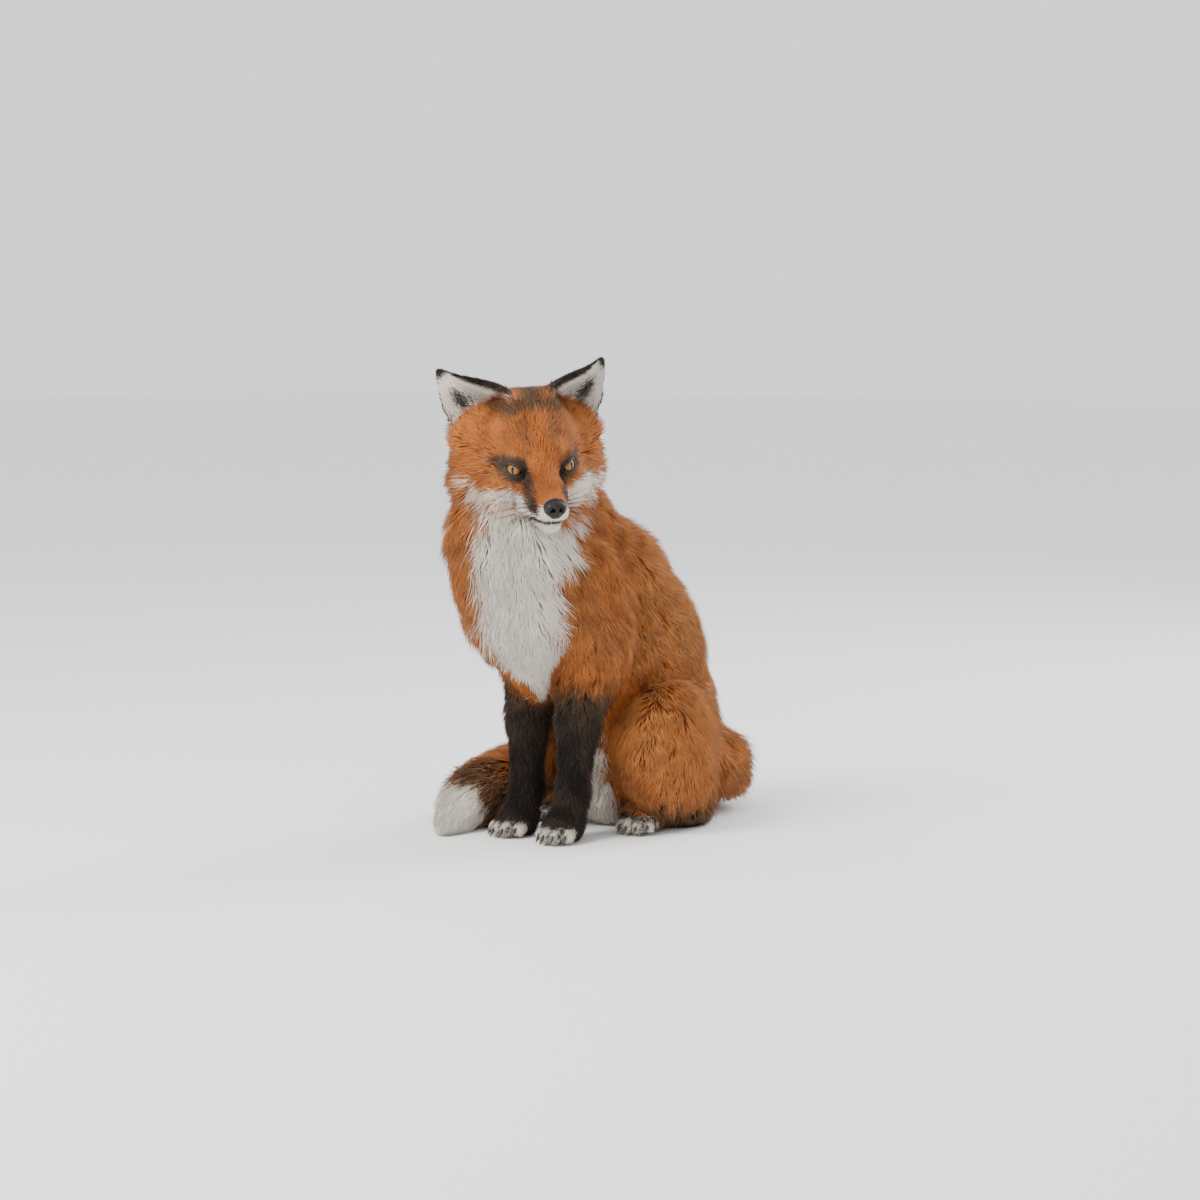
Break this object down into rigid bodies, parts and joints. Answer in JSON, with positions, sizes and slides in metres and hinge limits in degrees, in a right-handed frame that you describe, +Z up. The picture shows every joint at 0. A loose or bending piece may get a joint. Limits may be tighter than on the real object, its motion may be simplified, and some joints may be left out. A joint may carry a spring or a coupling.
{
  "type": "red fox",
  "caption": "Life-size red fox in its winter coat, sitting upright with its head turned to its left and its tail wrapped round its right side.",
  "frame": {"origin": "on the floor, under the middle of the animal's bounding box", "axes": "+Z up, -Y the way the chest faces, +X the animal's left"},
  "size_m": [0.2826, 0.421, 0.4868],
  "materials": {
    "red_coat": "long soft rufous fur with dark-tipped guard hairs",
    "pale_coat": "long soft cream-white fur",
    "black_coat": "short dense brown-black fur",
    "eye": "wet amber eye with a dark upright pupil",
    "nose": "moist pebbled black skin",
    "claw": "smooth dark horn"
  },
  "bodies": {
    "root": {"head": "red_coat", "muzzle": "red_coat", "jaw": "pale_coat", "nose": "nose", "eye_left": "eye", "eye_right": "eye", "ear_left": "black_coat", "ear_right": "black_coat", "neck": "red_coat", "chest": "red_coat", "abdomen": "red_coat", "shoulder_left": "red_coat", "shoulder_right": "red_coat", "thigh_left": "red_coat", "thigh_right": "red_coat", "shank_left": "red_coat", "shank_right": "red_coat", "foreleg_left": "black_coat", "foreleg_right": "black_coat", "forepaw_left": "black_coat", "forepaw_right": "black_coat", "hindpaw_left": "black_coat", "hindpaw_right": "black_coat", "tail_1": "red_coat", "tail_2": "red_coat", "tail_3": "red_coat", "tail_4": "pale_coat", "claw_fore_left_1": "claw", "claw_fore_left_2": "claw", "claw_fore_left_3": "claw", "claw_fore_left_4": "claw", "claw_fore_right_1": "claw", "claw_fore_right_2": "claw", "claw_fore_right_3": "claw", "claw_fore_right_4": "claw", "claw_hind_left_1": "claw", "claw_hind_left_2": "claw", "claw_hind_left_3": "claw", "claw_hind_left_4": "claw", "claw_hind_right_1": "claw", "claw_hind_right_2": "claw", "claw_hind_right_3": "claw", "claw_hind_right_4": "claw"}
  },
  "joints": []
}
